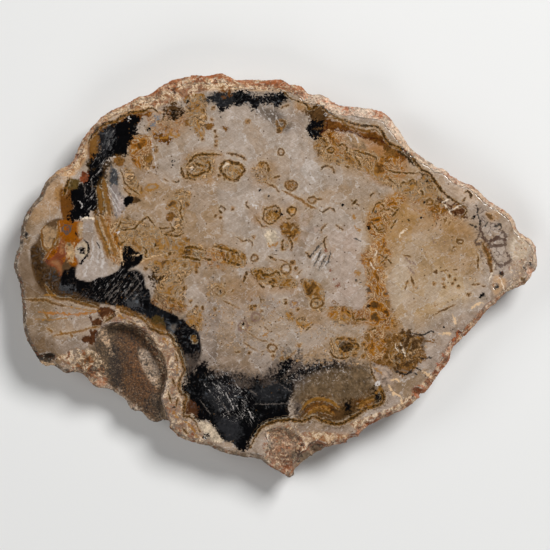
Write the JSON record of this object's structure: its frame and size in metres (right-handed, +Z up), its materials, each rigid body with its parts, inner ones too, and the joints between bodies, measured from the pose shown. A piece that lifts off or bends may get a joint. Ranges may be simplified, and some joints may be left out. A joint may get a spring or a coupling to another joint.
{
  "type": "petrified wood slice",
  "caption": "Sawn and polished slice of petrified tree trunk with a rough bark edge and a sandy hollow, lying flat on its sawn back.",
  "frame": {"origin": "centre of the slice's outline box, on the plane of its sawn back", "axes": "+X along the slice's greatest width, towards its pointed end; +Z up, out of the polished face"},
  "size_m": [0.2999, 0.2319, 0.024],
  "materials": {
    "agatised_wood": "polished face, rough bark wall, sawn back"
  },
  "bodies": {
    "root": {"petrified_wood_slice": "agatised_wood"}
  },
  "joints": []
}
